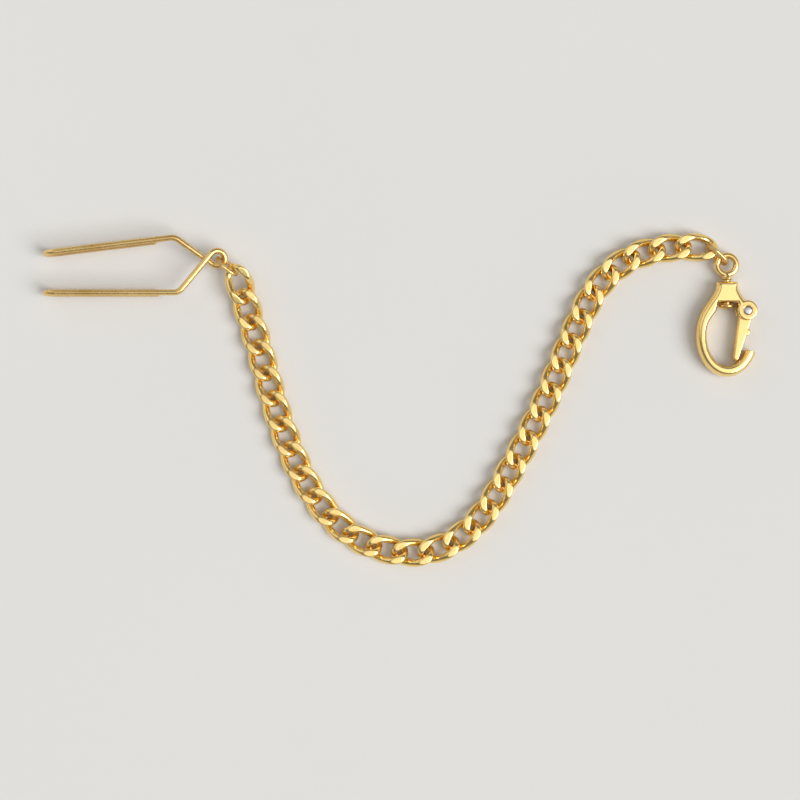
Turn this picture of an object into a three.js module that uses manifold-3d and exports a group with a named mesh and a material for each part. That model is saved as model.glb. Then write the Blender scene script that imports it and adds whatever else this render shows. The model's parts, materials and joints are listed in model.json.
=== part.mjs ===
// A gilt pocket watch chain: a wire placket hook, a jump ring, a run of twisted curb links,
// a second jump ring and a swivel clasp. Millimetres, +Z up. The chain lies flat, in the curve
// it hangs in when worn: +X runs from the hook to the clasp, +Y is up when it is worn.
import * as THREE from "three";
import { mergeVertices } from "three/addons/utils/BufferGeometryUtils.js";
import Module from "manifold-3d";

const wasm = await Module();
wasm.setup();
const { Manifold } = wasm;

// ---- Driving dimensions ----

// Curb links
const LINKS = 31;
const PITCH = 4.6;
const LINK_WIRE = 1.4;
const LINK_WIDTH = 5.0;
const LINK_PLAY = 0.3; // how much shorter the pitch is than the links allow
const LINK_RISE = 0.9; // how far the wire climbs out of the link's plane at each shoulder
const LINK_THICKNESS = 2.5; // over the two filed faces
const LINK_STATIONS = 20;
const WIRE_SIDES = 8;

// The line the chain lies along, from the hook to the clasp
const LIE = [
  [33.6, 24.6],
  [37.6, 11.0],
  [41.3, -1.8],
  [45.9, -12.4],
  [52.0, -19.9],
  [60.0, -23.7],
  [68.4, -23.5],
  [75.2, -18.9],
  [81.1, -9.6],
  [87.2, 2.4],
  [92.0, 13.9],
  [96.2, 22.4],
  [101.4, 27.0],
  [109.0, 29.0],
  [119.0, 28.6],
];
const LIE_CLIMB = 2.1; // height gained over the last links before the hook
const LIE_CLIMB_REACH = 9.6;

// Jump rings
const RING_WIRE = 0.75;
const RING_GAP_WIDTH = 2.0;
const RING_REACH = 1.6; // between the two wires that a ring holds together
const RING_CLEARANCE = 0.3;
const HOOK_RING_HEADING = -38;
const END_RING_HEADING = -42;

// Placket hook: one bent wire with an eye at its nose
const HOOK_WIRE = 1.1;
const CLOTH_GAP = 2.4;
const NOSE_EYE_RADIUS = 1.3; // to the middle of the wire
const NOSE_EYE_DROP = 1.6; // from the wire that enters the eye to the one that leaves it
const LOWER_KINK = [-6.6, -5.9]; // from the middle of the eye
const UPPER_KINK = [-7.3, 3.6];
const LOWER_BEND = [-29.8, -5.9];
const UPPER_BEND = [-29.8, 0.9];
const KINK_RADIUS = 1.8;
const PRONG_SHARE = 0.82; // of a front leg's length

// Swivel clasp. Its own frame starts in the middle of the swivel's eye and runs along the stem.
const CLASP_HEADING = -90;
const CLASP_THICKNESS = 3.2;
const CLASP_EDGE = 0.45; // rounding of the long edges
const EYE_WIRE = 1.1;
const EYE_RADIUS = 1.65; // to the middle of the wire
const STEM_RADIUS = 0.65;
const STEM_HEAD_RADIUS = 1.3;
const STEM_HEAD_START = 6.95;
const STEM_HEAD_END = 7.7;
const BORE_CLEARANCE = 0.25;
const COLLAR_START = 2.9;
const COLLAR_END = 3.4;
const COLLAR_HALF_WIDTH = 1.9;
// How far the outline's sides run straight on from the collar and from the round end
const OUTER_SWELL = [2.5, 5.0];
const WINDOW_START = 6.6;
const WINDOW_HALF_WIDTH = 1.6; // at its back
const WINDOW_SWELL = [2.0, 3.2];
const BOW_CENTRE = 12.2; // middle of the clasp's round end
const OUTER_RADII = [7.2, 5.4];
const WINDOW_RADII = [5.3, 3.6];
const MOUTH_START = 8.6;
const MOUTH_END_INSIDE = 14.2;
const MOUTH_END_OUTSIDE = 15.5;
const MOUTH_INSIDE = 1.2;
const HINGE = [7.9, 3.4];
const EAR_RADIUS = 1.75;
const EAR_SLOT = 2.0;
const GATE_THICKNESS = 1.7;
const GATE_KNUCKLE_RADIUS = 1.3;
const GATE_TIP = [16.1, 1.55];
const GATE_TIP_RADIUS = 0.55;
const GATE_NIB = [11.6, 3.35];
const GATE_NIB_RADIUS = 0.7;
const GATE_POCKET_RADIUS = 1.45;
const GATE_POCKET_FLOOR = 0.15;
const RIVET_RADIUS = 0.6;
const RIVET_CLEARANCE = 0.15;
const RIVET_SETBACK = 0.05; // each end below the clasp's face
const SPRING_WIRE = 0.3;
const SPRING_COIL_RADIUS = 0.92;
const SPRING_TURNS = 1.75;
const SPRING_TAIL = 0.18; // how far each end of the coil stands out
const SPRING_CLEARANCE = 0.06;

// ---- Derived dimensions ----

const LINK_HALF_LENGTH = (PITCH + LINK_WIRE + LINK_PLAY) / 2;
const LINK_HALF_WIDTH = (LINK_WIDTH - LINK_WIRE) / 2;
const RING_INNER_LENGTH = (wire) => RING_REACH + (LINK_WIRE + wire) / 2 + 2 * RING_CLEARANCE;
const PRONG_HEIGHT = HOOK_WIRE / 2;
const LEG_HEIGHT = PRONG_HEIGHT + HOOK_WIRE + CLOTH_GAP;
const CLASP_HEIGHT = CLASP_THICKNESS / 2;

const gold = { color: 0xd8ae54, roughness: 0.24, metalness: 1 };
const steel = { color: 0xb9bbbe, roughness: 0.35, metalness: 1 };

const UP = new THREE.Vector3(0, 0, 1);
const layout = new THREE.Group();

function vector(x, y, z = 0) {
  return new THREE.Vector3(x, y, z);
}

function heading(degrees) {
  const angle = THREE.MathUtils.degToRad(degrees);
  return vector(Math.cos(angle), Math.sin(angle));
}

function direction(from, to) {
  return to.clone().sub(from).normalize();
}

// The frame whose x axis runs along `along` and whose z axis points as nearly up as it can.
function frameAt(origin, along) {
  const across = UP.clone().cross(along).normalize();
  const over = along.clone().cross(across);
  return new THREE.Matrix4().makeBasis(along, across, over).setPosition(origin);
}

function add(name, geometry, finish, matrix = new THREE.Matrix4()) {
  const shape = geometry.index ? geometry.toNonIndexed() : geometry.clone();
  shape.computeVertexNormals();
  const mesh = new THREE.Mesh(shape, new THREE.MeshStandardMaterial(finish));
  mesh.name = name;
  mesh.applyMatrix4(matrix);
  layout.add(mesh);
}

// ---- Wires ----

// The sections of a wire: at each point its middle, its two cross directions and its radius.
function sections(points, radius, closed, up) {
  const count = points.length;
  const list = [];
  let across = null;
  for (let i = 0; i < count; i++) {
    const last = !closed && i === count - 1;
    const first = !closed && i === 0;
    const ahead = last ? null : direction(points[i], points[(i + 1) % count]);
    const back = first ? null : direction(points[(i - 1 + count) % count], points[i]);
    const along = vector(0, 0).add(ahead ?? back).add(back ?? ahead).normalize();
    if (up) {
      across = up.clone().cross(along).normalize();
    } else {
      across = across ?? UP.clone().cross(along);
      across = across.clone().addScaledVector(along, -across.dot(along)).normalize();
    }
    list.push({ middle: points[i], across, over: along.clone().cross(across), along, radius });
  }
  return list;
}

// The rings of a wire's rounded end, from the wire outwards.
function domeSections(end, outward) {
  return [0.4, 0.8].map((share) => {
    const angle = (share * Math.PI) / 2;
    return {
      ...end,
      middle: end.middle.clone().addScaledVector(outward, end.radius * Math.sin(angle)),
      radius: end.radius * Math.cos(angle),
    };
  });
}

// A closed skin over a wire's sections. An open wire gets a rounded tip at each end.
function wire(points, diameter, { closed = false, up = null, sides = WIRE_SIDES } = {}) {
  let list = sections(points, diameter / 2, closed, up);
  const corners = [];
  const faces = [];
  const tips = [];
  if (!closed) {
    const start = list[0];
    const end = list[list.length - 1];
    const backward = start.along.clone().negate();
    tips.push(start.middle.clone().addScaledVector(backward, start.radius));
    tips.push(end.middle.clone().addScaledVector(end.along, end.radius));
    list = [...domeSections(start, backward).reverse(), ...list, ...domeSections(end, end.along)];
  }
  for (const { middle, across, over, radius } of list)
    for (let j = 0; j < sides; j++) {
      const angle = (2 * Math.PI * (j + 0.5)) / sides;
      const corner = middle.clone().addScaledVector(across, radius * Math.cos(angle));
      corners.push(corner.addScaledVector(over, radius * Math.sin(angle)));
    }
  const spans = closed ? list.length : list.length - 1;
  for (let i = 0; i < spans; i++)
    for (let j = 0; j < sides; j++) {
      const next = ((i + 1) % list.length) * sides;
      const a = i * sides + j;
      const b = i * sides + ((j + 1) % sides);
      const c = next + ((j + 1) % sides);
      const d = next + j;
      faces.push(a, b, c, a, c, d);
    }
  if (!closed) {
    const start = corners.push(tips[0]) - 1;
    const end = corners.push(tips[1]) - 1;
    const rim = (list.length - 1) * sides;
    for (let j = 0; j < sides; j++) {
      const k = (j + 1) % sides;
      faces.push(start, k, j, end, rim + j, rim + k);
    }
  }
  const geometry = new THREE.BufferGeometry().setFromPoints(corners);
  geometry.setIndex(faces);
  return geometry;
}

// A wire's path through straight runs and round bends: [corner, bend radius] in order.
// A corner with no radius is passed through as it stands.
function bentPath(stops, stepDegrees = 22.5) {
  const points = [];
  stops.forEach(([corner, radius], i) => {
    if (!radius) {
      points.push(corner);
      return;
    }
    const before = direction(stops[i - 1][0], corner);
    const after = direction(corner, stops[i + 1][0]);
    const turn = before.angleTo(after);
    const axis = before.clone().cross(after).normalize();
    const inward = axis.clone().cross(before);
    const start = corner.clone().addScaledVector(before, -radius * Math.tan(turn / 2));
    const centre = start.clone().addScaledVector(inward, radius);
    const steps = Math.ceil(THREE.MathUtils.radToDeg(turn) / stepDegrees - 1e-6);
    for (let k = 0; k <= steps; k++) {
      const spoke = start.clone().sub(centre).applyAxisAngle(axis, (turn * k) / steps);
      points.push(spoke.add(centre));
    }
  });
  return points.filter((p, i) => i === 0 || p.distanceTo(points[i - 1]) > 1e-3);
}

// ---- Solids ----

function solid(geometry) {
  const bare = new THREE.BufferGeometry();
  bare.setAttribute("position", geometry.getAttribute("position"));
  if (geometry.index) bare.setIndex(geometry.index);
  const merged = mergeVertices(bare, 1e-4);
  const vertProperties = new Float32Array(merged.attributes.position.array);
  const triVerts = new Uint32Array(merged.index.array);
  return new Manifold(new wasm.Mesh({ numProp: 3, vertProperties, triVerts }));
}

function geometryOf(body) {
  const mesh = body.getMesh();
  const corners = new Float32Array(mesh.vertProperties);
  const faces = new Uint32Array(mesh.triVerts);
  const geometry = new THREE.BufferGeometry();
  geometry.setAttribute("position", new THREE.BufferAttribute(corners, 3));
  geometry.setIndex(new THREE.BufferAttribute(faces, 1));
  return geometry;
}

// A cylinder across the clasp, centred on a point of its outline plane.
function disc([x, y], radius, low, high, sides = 20) {
  return Manifold.cylinder(high - low, radius, radius, sides).translate([x, y, low]);
}

// A cylinder along the clasp's stem.
function rod(radius, start, end, sides = 16) {
  const upright = Manifold.cylinder(end - start, radius, radius, sides);
  return upright.rotate([0, 90, 0]).translate([start, 0, 0]);
}

// ---- Curb links ----

// The middle of a link's wire at an angle round the link: an oval that climbs over and dives
// under once per side.
function linkPoint(angle) {
  return vector(
    LINK_HALF_LENGTH * Math.cos(angle),
    LINK_HALF_WIDTH * Math.sin(angle),
    -LINK_RISE * Math.sin(2 * angle),
  );
}

function linkGeometry() {
  const points = [];
  for (let i = 0; i < LINK_STATIONS; i++) {
    const angle = (2 * Math.PI * i) / LINK_STATIONS;
    points.push(linkPoint(angle));
  }
  const geometry = wire(points, LINK_WIRE, { closed: true, up: UP });
  const position = geometry.attributes.position;
  const limit = LINK_THICKNESS / 2;
  for (let i = 0; i < position.count; i++)
    position.setZ(i, THREE.MathUtils.clamp(position.getZ(i), -limit, limit));
  return geometry;
}

const lie = new THREE.CatmullRomCurve3(
  LIE.map(([x, y]) => vector(x, y)),
  false,
  "centripetal",
);

// A point of the chain's line, with the climb to the hook added.
function liePoint(t) {
  const point = lie.getPoint(t);
  const near = Math.max(0, 1 - point.distanceTo(lie.points[0]) / LIE_CLIMB_REACH);
  point.z = LINK_THICKNESS / 2 + LIE_CLIMB * near * near;
  return point;
}

// The interlocks: each one pitch from the one before, measured straight.
const interlocks = [liePoint(0)];
for (let i = 0, t = 0; i < LINKS; i++) {
  let low = t;
  let high = Math.min(1, t + 0.1);
  for (let k = 0; k < 50; k++) {
    t = (low + high) / 2;
    if (liePoint(t).distanceTo(interlocks[i]) < PITCH) low = t;
    else high = t;
  }
  interlocks.push(liePoint(t));
}

const linkFrames = [];
const link = linkGeometry();
for (let i = 0; i < LINKS; i++) {
  const middle = interlocks[i].clone().add(interlocks[i + 1]).multiplyScalar(0.5);
  const matrix = frameAt(middle, direction(interlocks[i], interlocks[i + 1]));
  linkFrames.push(matrix);
  add("curb_link_" + String(i + 1).padStart(2, "0"), link, gold, matrix);
}

// The middle of a link's wire where its outline faces a direction, and the way the wire runs there.
function shoulder(matrix, facing) {
  const local = facing.clone().transformDirection(matrix.clone().invert());
  const angle = Math.atan2(LINK_HALF_WIDTH * local.y, LINK_HALF_LENGTH * local.x);
  const along = direction(linkPoint(angle - 0.01), linkPoint(angle + 0.01));
  return { point: linkPoint(angle).applyMatrix4(matrix), along: along.transformDirection(matrix) };
}

// ---- Jump rings ----

// An oval ring on edge that holds two wires together, with its long way from one to the other.
// It leans half as far as the link's wire does, so that both wires cross it nearly squarely.
function ringBetween(name, from, to, innerLength, linkWireWay) {
  const straight = innerLength - RING_GAP_WIDTH;
  const radius = (RING_GAP_WIDTH + RING_WIRE) / 2;
  const points = [];
  for (const [side, turn] of [
    [1, -Math.PI / 2],
    [-1, Math.PI / 2],
  ])
    for (let k = 0; k <= 9; k++) {
      const angle = turn + (Math.PI * k) / 9;
      const end = (side * straight) / 2;
      points.push(vector(end + radius * Math.cos(angle), 0, radius * Math.sin(angle)));
    }
  const middle = from.clone().add(to).multiplyScalar(0.5);
  const geometry = wire(points, RING_WIRE, { closed: true, up: vector(0, 1) });
  const along = direction(from, to);
  const across = UP.clone().cross(along).normalize();
  const lean = linkWireWay.clone().multiplyScalar(Math.sign(linkWireWay.dot(across)));
  across.add(lean);
  across.addScaledVector(along, -across.dot(along)).normalize();
  const over = along.clone().cross(across);
  const matrix = new THREE.Matrix4().makeBasis(along, across, over).setPosition(middle);
  add(name, geometry, gold, matrix);
}

// ---- Placket hook ----

const hookRingWay = heading(HOOK_RING_HEADING);
const firstShoulder = shoulder(linkFrames[0], hookRingWay.clone().negate());
const eyeHeight = LEG_HEIGHT - NOSE_EYE_DROP * 0.5;
const ringDrop = eyeHeight - firstShoulder.point.z;
const ringRun = Math.sqrt(RING_REACH ** 2 - ringDrop ** 2);
const noseWire = firstShoulder.point.clone().addScaledVector(hookRingWay, -ringRun);
noseWire.setZ(eyeHeight);
const nose = noseWire.clone().addScaledVector(hookRingWay, -NOSE_EYE_RADIUS);
const hookRingLength = RING_INNER_LENGTH(HOOK_WIRE);

ringBetween("hook_ring", noseWire, firstShoulder.point, hookRingLength, firstShoulder.along);

function hookPath() {
  const at = ([x, y], z) => vector(nose.x + x, nose.y + y, z);
  const bendRadius = (LEG_HEIGHT - PRONG_HEIGHT) / 2;
  // Each leg meets the eye on a tangent: the wire passes over itself, goes round clockwise and
  // comes back under.
  const entry = tangentAngle(LOWER_KINK, 1);
  const exit = tangentAngle(UPPER_KINK, -1);
  const sweep = THREE.MathUtils.euclideanModulo(entry - exit, 2 * Math.PI);
  const eye = [];
  const steps = 14;
  for (let k = 0; k <= steps; k++) {
    const angle = entry - (sweep * k) / steps;
    const spoke = [NOSE_EYE_RADIUS * Math.cos(angle), NOSE_EYE_RADIUS * Math.sin(angle)];
    eye.push([at(spoke, LEG_HEIGHT - (NOSE_EYE_DROP * k) / steps), 0]);
  }
  const leg = (kink, bend) => {
    const front = at(bend, LEG_HEIGHT);
    const back = at(bend, PRONG_HEIGHT);
    const tip = back.clone().lerp(at(kink, PRONG_HEIGHT), PRONG_SHARE);
    return [
      [tip, 0],
      [back, bendRadius],
      [front, bendRadius],
      [at(kink, LEG_HEIGHT), KINK_RADIUS],
    ];
  };
  const lower = leg(LOWER_KINK, LOWER_BEND);
  const upper = leg(UPPER_KINK, UPPER_BEND);
  return bentPath([...lower, ...eye, ...upper.reverse()]);
}

// The angle on the eye at which a straight wire from a kink touches it, on its left (1) or
// right (-1) side.
function tangentAngle([x, y], side) {
  const away = Math.atan2(y, x);
  return away - side * Math.acos(NOSE_EYE_RADIUS / Math.hypot(x, y));
}

add("placket_hook", wire(hookPath(), HOOK_WIRE), gold);

// ---- End ring and swivel clasp ----

const endRingWay = heading(END_RING_HEADING);
const lastShoulder = shoulder(linkFrames[LINKS - 1], endRingWay);
const endDrop = lastShoulder.point.z - CLASP_HEIGHT;
const endRun = Math.sqrt(RING_REACH ** 2 - endDrop ** 2);
const swivelWire = lastShoulder.point.clone().addScaledVector(endRingWay, endRun);
swivelWire.setZ(CLASP_HEIGHT);
const swivel = swivelWire.clone().addScaledVector(endRingWay, EYE_RADIUS);
const claspFrame = frameAt(swivel, heading(CLASP_HEADING));
const endRingLength = RING_INNER_LENGTH(EYE_WIRE);

ringBetween("end_ring", lastShoulder.point, swivelWire, endRingLength, lastShoulder.along);

function swivelEye() {
  const points = [];
  for (let i = 0; i < 20; i++) points.push(heading(18 * i).multiplyScalar(EYE_RADIUS));
  const ring = solid(wire(points, EYE_WIRE, { closed: true, up: UP }));
  const stem = rod(STEM_RADIUS, EYE_RADIUS, (STEM_HEAD_START + STEM_HEAD_END) / 2);
  const head = rod(STEM_HEAD_RADIUS, STEM_HEAD_START, STEM_HEAD_END, 20);
  return ring.add(stem).add(head);
}

// The points of a pear outline: a straight back, sides that swell, and a round end.
function pear(back, sidesStart, halfWidth, [backSwell, endSwell], [length, radius]) {
  const shape = new THREE.Shape();
  const out = sidesStart + backSwell;
  const home = BOW_CENTRE - endSwell;
  shape.moveTo(back, -halfWidth);
  shape.lineTo(sidesStart, -halfWidth);
  shape.bezierCurveTo(out, -halfWidth, home, -radius, BOW_CENTRE, -radius);
  shape.absellipse(BOW_CENTRE, 0, length, radius, -Math.PI / 2, Math.PI / 2, false);
  shape.bezierCurveTo(home, radius, out, halfWidth, sidesStart, halfWidth);
  shape.lineTo(back, halfWidth);
  const points = shape.getPoints(10);
  return points.filter((p, i) => p.distanceTo(points[(i + 1) % points.length]) > 1e-3);
}

function claspBody() {
  const outer = pear(COLLAR_START, COLLAR_END, COLLAR_HALF_WIDTH, OUTER_SWELL, OUTER_RADII);
  const shoulders = WINDOW_START + 0.2;
  const inner = pear(WINDOW_START, shoulders, WINDOW_HALF_WIDTH, WINDOW_SWELL, WINDOW_RADII);
  const face = new THREE.Shape(outer);
  face.holes.push(new THREE.Path(inner));
  const plate = new THREE.ExtrudeGeometry(face, {
    depth: CLASP_THICKNESS - 2 * CLASP_EDGE,
    bevelThickness: CLASP_EDGE,
    bevelSize: CLASP_EDGE,
    bevelOffset: -CLASP_EDGE,
    bevelSegments: 2,
  });
  plate.translate(0, 0, -CLASP_THICKNESS / 2 + CLASP_EDGE);
  const half = CLASP_THICKNESS / 2;
  const beyond = OUTER_RADII[1] + 1;
  const mouth = new THREE.Shape([
    new THREE.Vector2(MOUTH_START, MOUTH_INSIDE),
    new THREE.Vector2(MOUTH_END_INSIDE, MOUTH_INSIDE),
    new THREE.Vector2(MOUTH_END_OUTSIDE, beyond),
    new THREE.Vector2(MOUTH_START, beyond),
  ]);
  const depth = 2 * CLASP_THICKNESS;
  const mouthCut = new THREE.ExtrudeGeometry(mouth, { depth, bevelEnabled: false });
  mouthCut.translate(0, 0, -CLASP_THICKNESS);
  return solid(plate)
    .subtract(solid(mouthCut))
    .add(disc(HINGE, EAR_RADIUS, -half, half))
    .subtract(disc(HINGE, EAR_RADIUS + 0.1, -EAR_SLOT / 2, EAR_SLOT / 2))
    .subtract(disc(HINGE, RIVET_RADIUS + RIVET_CLEARANCE, -half - 1, half + 1, 16))
    .subtract(rod(STEM_RADIUS + BORE_CLEARANCE, COLLAR_START - 1, WINDOW_START + 1));
}

function claspGate() {
  const half = GATE_THICKNESS / 2;
  const knuckle = disc(HINGE, GATE_KNUCKLE_RADIUS, -half, half);
  const tip = disc(GATE_TIP, GATE_TIP_RADIUS, -half, half, 12);
  const nib = disc(GATE_NIB, GATE_NIB_RADIUS, -half, half, 12);
  return Manifold.hull([knuckle, tip])
    .add(nib)
    .subtract(disc(HINGE, GATE_POCKET_RADIUS, GATE_POCKET_FLOOR, half + 1, 20))
    .subtract(disc(HINGE, RIVET_RADIUS + RIVET_CLEARANCE, -half - 1, half + 1, 16));
}

function gateSpring() {
  const points = [];
  const steps = Math.round(14 * SPRING_TURNS);
  const low = GATE_POCKET_FLOOR + SPRING_WIRE / 2 + SPRING_CLEARANCE;
  const high = EAR_SLOT / 2 - SPRING_WIRE / 2 - SPRING_CLEARANCE;
  for (let k = 0; k <= steps; k++) {
    const share = k / steps;
    const angle = 2 * Math.PI * SPRING_TURNS * share;
    const radius = SPRING_COIL_RADIUS + SPRING_TAIL * Math.abs(2 * share - 1) ** 12;
    const x = HINGE[0] + radius * Math.cos(angle);
    const y = HINGE[1] + radius * Math.sin(angle);
    points.push(vector(x, y, low + (high - low) * share));
  }
  return wire(points, SPRING_WIRE, { sides: 5 });
}

add("swivel_eye", geometryOf(swivelEye()), gold, claspFrame);
add("clasp_body", geometryOf(claspBody()), gold, claspFrame);
add("clasp_gate", geometryOf(claspGate()), gold, claspFrame);
const rivetHalf = CLASP_THICKNESS / 2 - RIVET_SETBACK;
const rivet = disc(HINGE, RIVET_RADIUS, -rivetHalf, rivetHalf, 16);
add("clasp_rivet", geometryOf(rivet), steel, claspFrame);
add("clasp_spring", gateSpring(), steel, claspFrame);

// ---- The part's origin: the middle of its footprint, on the surface it lies on ----

layout.updateMatrixWorld(true);
const box = new THREE.Box3().setFromObject(layout, true);
layout.position.set(-(box.min.x + box.max.x) / 2, -(box.min.y + box.max.y) / 2, -box.min.z);

const root = new THREE.Group();
root.add(layout);

export default root;
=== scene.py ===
"""A gilt pocket watch chain: a wire placket hook, two jump rings, a run of curb links and a
swivel clasp. It lies flat on a pale floor in the curve it hangs in when worn, seen from above."""

import json
import math

import bpy
import numpy as np
from mathutils import Matrix, Vector


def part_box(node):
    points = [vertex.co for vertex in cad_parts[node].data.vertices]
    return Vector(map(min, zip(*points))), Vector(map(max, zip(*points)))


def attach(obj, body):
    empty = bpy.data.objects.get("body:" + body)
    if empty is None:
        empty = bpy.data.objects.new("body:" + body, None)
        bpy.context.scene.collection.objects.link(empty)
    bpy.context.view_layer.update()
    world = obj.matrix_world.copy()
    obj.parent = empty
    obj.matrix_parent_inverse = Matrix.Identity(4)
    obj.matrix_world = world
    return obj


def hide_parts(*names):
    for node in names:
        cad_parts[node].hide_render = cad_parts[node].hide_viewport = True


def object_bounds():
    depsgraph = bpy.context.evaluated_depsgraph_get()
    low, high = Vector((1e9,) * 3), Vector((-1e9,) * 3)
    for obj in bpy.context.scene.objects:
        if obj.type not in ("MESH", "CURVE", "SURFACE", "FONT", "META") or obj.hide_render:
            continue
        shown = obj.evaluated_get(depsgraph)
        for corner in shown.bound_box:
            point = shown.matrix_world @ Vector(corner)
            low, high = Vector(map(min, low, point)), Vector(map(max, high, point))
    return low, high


MM = 0.001

# ---- Driving dimensions, as in the CAD model ----

# Curb links
LINKS = 31
LINK_HALF_LENGTH = 3.15 * MM  # to the middle of the wire
LINK_HALF_WIDTH = 1.8 * MM
LINK_RISE = 0.9 * MM  # how far the wire climbs out of the link's plane at each shoulder
LINK_WIRE = 1.4 * MM
LINK_FLAT = 1.25 * MM  # height of a filed face over the link's middle
LINK_FLAT_EDGE = 0.06 * MM  # how softly the filed face meets the round wire

# Jump rings
RING_WIRE = 0.75 * MM
RING_GAP_WIDTH = 2.0 * MM
RING_REACH = 1.6 * MM  # between the middles of the two wires that a ring holds together
RING_CLEARANCE = 0.3 * MM
RING_SEAM_WIDTH = 0.09 * MM  # the cut where a ring is opened and closed
RING_SEAM_DEPTH = 0.05 * MM

# Placket hook: its front legs' corners are measured from the middle of its nose eye
HOOK_WIRE = 1.1 * MM
CLOTH_GAP = 2.4 * MM  # between the front legs and the prongs behind them
NOSE_EYE_RADIUS = 1.3 * MM
NOSE_EYE_DROP = 1.6 * MM  # from the wire that enters the eye to the one that leaves it
LOWER_KINK = (-6.6 * MM, -5.9 * MM)
UPPER_KINK = (-7.3 * MM, 3.6 * MM)
LOWER_BEND = (-29.8 * MM, -5.9 * MM)
UPPER_BEND = (-29.8 * MM, 0.9 * MM)
KINK_RADIUS = 1.8 * MM
PRONG_SHARE = 0.82  # of a front leg's length

# Swivel clasp, in its own frame: x from the middle of the swivel's eye along the stem
CLASP_THICKNESS = 3.2 * MM
CLASP_EDGE = (0.85 * MM, 1.3 * MM)  # how far its rounded edges come in, and how far they run down
WINDOW_EDGE = (-0.65 * MM, 1.1 * MM)
EAR_EDGE = (0.3 * MM, 0.3 * MM)
CUT_OVERRUN = 1 * MM  # how far a cutting shape reaches past what it cuts
FLARE_OVERRUN = 0.02 * MM  # the same for the window, whose edges flare at the faces
EYE_WIRE = 1.1 * MM
EYE_RADIUS = 1.65 * MM
STEM_RADIUS = 0.65 * MM
STEM_HEAD_RADIUS = 1.3 * MM
STEM_HEAD_START = 6.95 * MM
STEM_HEAD_END = 7.7 * MM
HEAD_RIM_SHARE = 0.4  # how much of the head's height is straight, under its dome
STEM_ROOT_SHARE = 0.9  # of the stem's radius, inside the eye's wire
STEM_FOOT_SHARE = 1.1  # and where it leaves the wire
STEM_BEAD = [(0.15 * MM, 0.95 * MM), (0.25 * MM, 1.02 * MM), (0.35 * MM, 0.95 * MM)]  # (x, radius)
STEM_BEAD_STEP = 0.05 * MM  # from the bead's rim down to the stem
BORE_RADIUS = 0.78 * MM
COLLAR_START = 2.9 * MM
COLLAR_END = 3.4 * MM
COLLAR_HALF_WIDTH = 1.9 * MM
OUTER_SWELL = (2.5 * MM, 5.0 * MM)  # how far the handles of its outline's curves reach
WINDOW_START = 6.6 * MM
WINDOW_CORNER = 0.2 * MM  # how far the window's sides run straight before they swell
WINDOW_HALF_WIDTH = 1.6 * MM
WINDOW_SWELL = (2.0 * MM, 3.2 * MM)
BOW_CENTRE = 12.2 * MM
OUTER_RADII = (7.2 * MM, 5.4 * MM)
WINDOW_RADII = (5.3 * MM, 3.6 * MM)
MOUTH_START = 8.6 * MM
MOUTH_END_INSIDE = 14.2 * MM
MOUTH_END_OUTSIDE = 15.5 * MM
MOUTH_INSIDE = 1.2 * MM
HINGE = (7.9 * MM, 3.4 * MM)
EAR_RADIUS = 1.75 * MM
EAR_SLOT = 2.0 * MM
EAR_SLOT_MARGIN = 0.1 * MM
GATE_THICKNESS = 1.7 * MM
GATE_EDGE = (0.3 * MM, 0.45 * MM)
GATE_KNUCKLE_RADIUS = 1.3 * MM
GATE_TIP = (16.1 * MM, 1.55 * MM)
GATE_TIP_RADIUS = 0.55 * MM
GATE_NIB = (11.6 * MM, 3.35 * MM)
GATE_NIB_RADIUS = 0.7 * MM
GATE_POCKET_RADIUS = 1.45 * MM
GATE_POCKET_FLOOR = 0.15 * MM
RIVET_RADIUS = 0.6 * MM
RIVET_CLEARANCE = 0.15 * MM
RIVET_HEAD_PLAY = 0.02 * MM  # between the widened ends and their holes
RIVET_STEP_INSET = 0.05 * MM
RIVET_STEP_LENGTH = 0.08 * MM
RIVET_DOME = 0.14 * MM
SPRING_WIRE = 0.3 * MM
SPRING_COIL_RADIUS = 0.92 * MM
SPRING_TURNS = 1.75
SPRING_TAIL = 0.18 * MM  # how far each end of the coil stands out
SPRING_TAIL_CURVE = 12  # how late the ends leave the coil
SPRING_CLEARANCE = 0.06 * MM

# How much smaller a round wire is than the CAD model's eight-sided one with the same section
ROUND_SHARE = math.sqrt(math.sin(math.pi / 4) / (math.pi / 4))

# ---- Fineness of the meshes ----

LINK_STATIONS = 96
LINK_SIDES = 40
RING_BEND_STATIONS = 33
RING_SIDE_STATIONS = 25
NOSE_EYE_STATIONS = 49
HOOK_STEP = 0.16 * MM  # between two stations of the hook's wire
SPRING_STATIONS = 140
BODY_VOXEL = 0.08 * MM  # grid that runs the clasp's body together
BODY_SMOOTHING = 5
SMALL_VOXEL = 0.05 * MM
SMALL_SMOOTHING = 4
SMOOTH_FACTOR = 0.5
TIP_ANGLES = np.linspace(0, math.pi / 2, 8)[1:-1]  # where a rounded wire tip has its rims
DOME_TOP = 0.48 * math.pi  # where a rounded head has its last rim, just short of its middle

# ---- Painted shade and dirt, as a share of the most there can be, and how far it reaches from a joint ----

LINK_SHADE_AND_DIRT = 0.1
LINK_END_SHADE_AND_DIRT = 0.45  # and how much more painted shade and dirt there is where the next link passes through and rubs
RING_SHADE_AND_DIRT = 0.7
HOOK_SHADE_AND_DIRT = 0.5
HINGE_SHADE_AND_DIRT = 0.8
HINGE_SHADE_AND_DIRT_REACH = 0.6 * MM
GATE_SHADE_AND_DIRT = 0.6
GATE_SHADE_AND_DIRT_REACH = 1.4 * MM
STEM_SHADE_AND_DIRT = 0.8
STEM_SHADE_AND_DIRT_REACH = 1 * MM

SIDEWAYS = np.array([0.0, 1.0, 0.0])
UP = np.array([0.0, 0.0, 1.0])

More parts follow.
